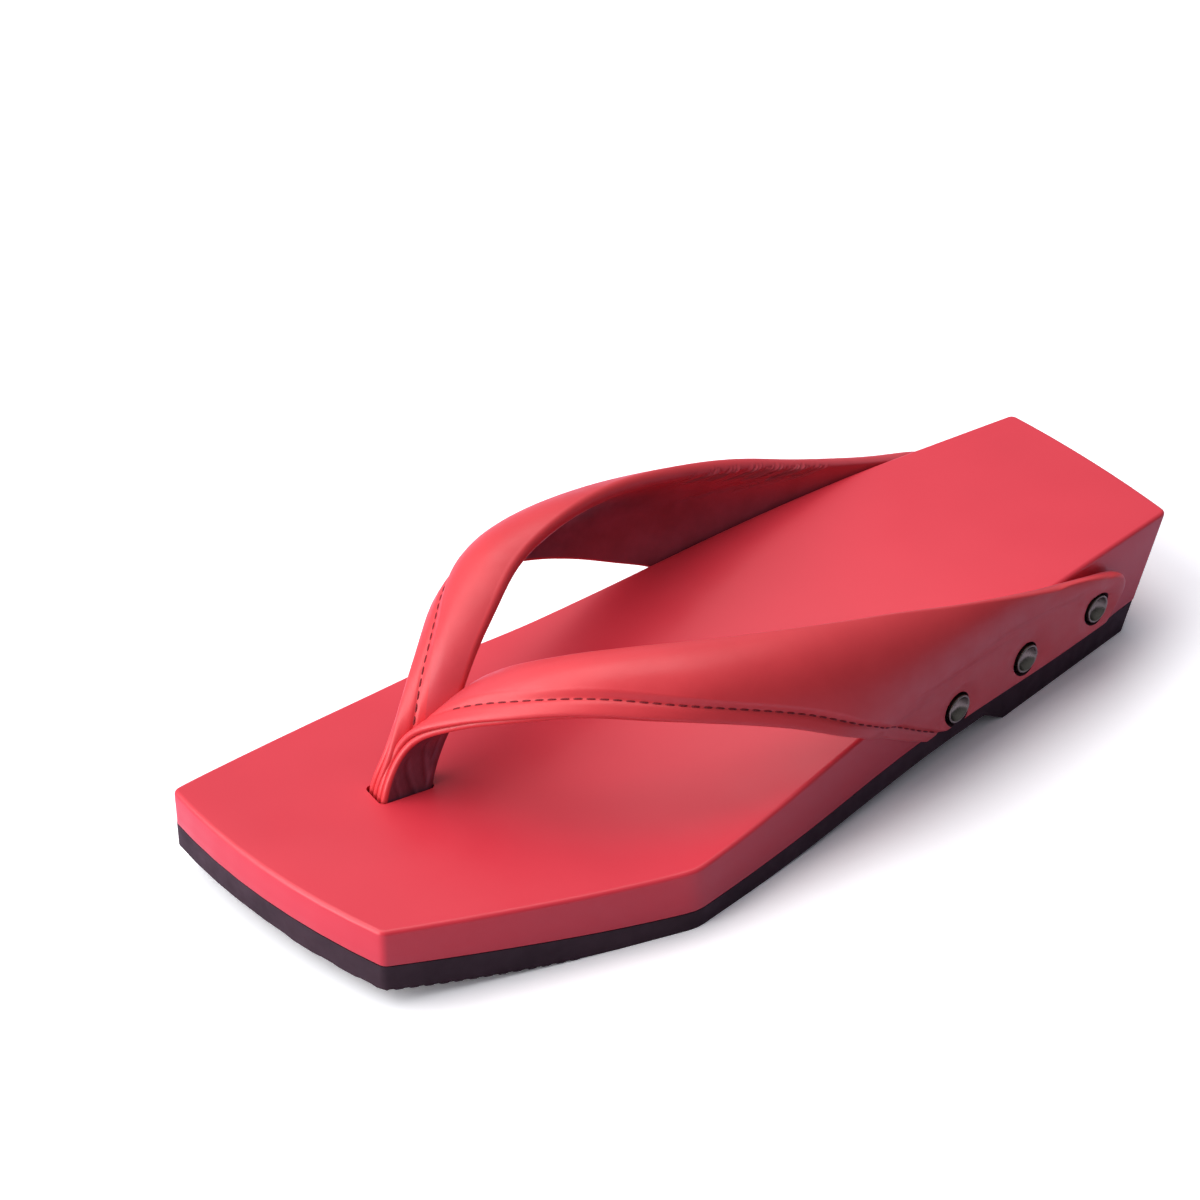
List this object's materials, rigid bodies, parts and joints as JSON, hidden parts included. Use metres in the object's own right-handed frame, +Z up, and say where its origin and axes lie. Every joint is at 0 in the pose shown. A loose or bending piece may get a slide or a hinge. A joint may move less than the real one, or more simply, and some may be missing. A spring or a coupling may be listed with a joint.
{
  "type": "geta sandal",
  "caption": "Left geta sandal with a red lacquered wooden footbed, black rubber outsole and padded red leather straps",
  "frame": {"origin": "middle of the bounding box on the floor", "axes": "+X toward the little-toe side, +Y toward the heel, +Z up"},
  "size_m": [0.097, 0.2482, 0.0594],
  "materials": {
    "red_lacquer": "satin red lacquer over wood",
    "black_rubber": "matt moulded",
    "red_leather": "smooth red leather with a soft sheen",
    "dark_nickel": "dark nickel plating"
  },
  "bodies": {
    "root": {"footbed": "red_lacquer", "outsole": "black_rubber", "upper": "red_leather", "rivet_lateral_1": "dark_nickel", "rivet_lateral_2": "dark_nickel", "rivet_lateral_3": "dark_nickel", "rivet_medial_1": "dark_nickel", "rivet_medial_2": "dark_nickel", "rivet_medial_3": "dark_nickel"}
  },
  "joints": []
}
